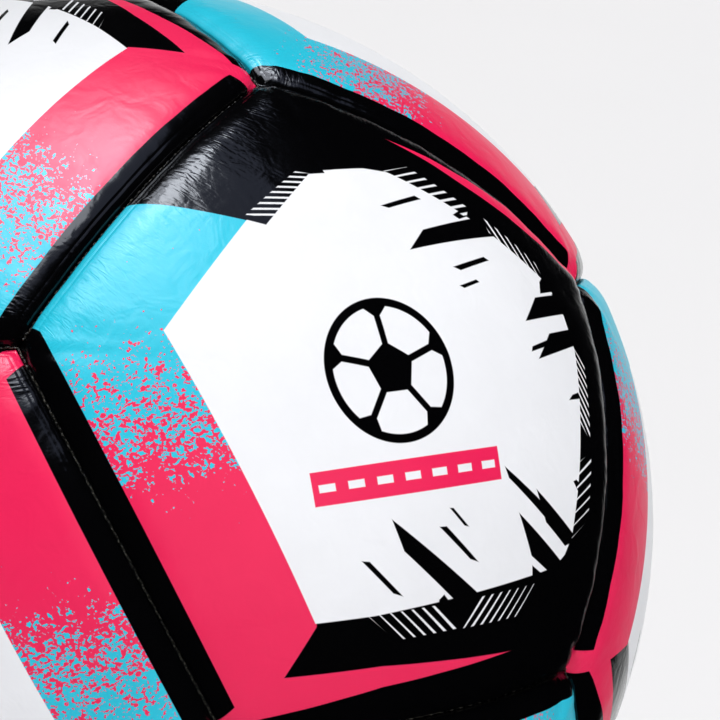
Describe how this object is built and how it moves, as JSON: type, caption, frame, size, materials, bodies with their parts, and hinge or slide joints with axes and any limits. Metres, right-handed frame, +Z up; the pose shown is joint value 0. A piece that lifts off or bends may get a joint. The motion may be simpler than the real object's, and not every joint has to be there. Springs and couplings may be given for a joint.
{
  "type": "stitched football",
  "caption": "Inflated ball of crowned pentagon panels stitched edge to edge, each with a printed cover, foam and lining, over a bladder with a needle valve.",
  "frame": {"origin": "centre of the ball", "axes": "+Z up. X, Y and Z each run through the middle of a seam. The front printed panel faces -Y and up, and the valve is in the panel that faces +Y and up"},
  "size_m": [0.1988, 0.1988, 0.1988],
  "materials": {
    "cover": "glossy polyurethane film, printed",
    "foam": "closed-cell foam",
    "lining": "woven polyester and cotton",
    "thread": "waxed polyester cord",
    "bladder": "moulded butyl rubber",
    "valve": "moulded rubber",
    "valve_core": "soft moulded rubber",
    "filling": "open-cell foam"
  },
  "bodies": {
    "root": {"cover_left_front": "cover", "cover_left_back": "cover", "cover_right_front": "cover", "cover_right_back": "cover", "cover_front_lower": "cover", "cover_front_upper": "cover", "cover_back_lower": "cover", "cover_back_upper": "cover", "cover_bottom_left": "cover", "cover_bottom_right": "cover", "cover_top_left": "cover", "cover_top_right": "cover", "foam_left_front": "foam", "foam_left_back": "foam", "foam_right_front": "foam", "foam_right_back": "foam", "foam_front_lower": "foam", "foam_front_upper": "foam", "foam_back_lower": "foam", "foam_back_upper": "foam", "foam_bottom_left": "foam", "foam_bottom_right": "foam", "foam_top_left": "foam", "foam_top_right": "foam", "lining_left_front": "lining", "lining_left_back": "lining", "lining_right_front": "lining", "lining_right_back": "lining", "lining_front_lower": "lining", "lining_front_upper": "lining", "lining_back_lower": "lining", "lining_back_upper": "lining", "lining_bottom_left": "lining", "lining_bottom_right": "lining", "lining_top_left": "lining", "lining_top_right": "lining", "seam_thread_01": "thread", "seam_thread_02": "thread", "seam_thread_03": "thread", "seam_thread_04": "thread", "seam_thread_05": "thread", "seam_thread_06": "thread", "seam_thread_07": "thread", "seam_thread_08": "thread", "seam_thread_09": "thread", "seam_thread_10": "thread", "bladder": "bladder", "valve_body": "valve", "valve_core": "valve_core", "balance_patch": "bladder", "rebound_foam": "filling"}
  },
  "joints": []
}
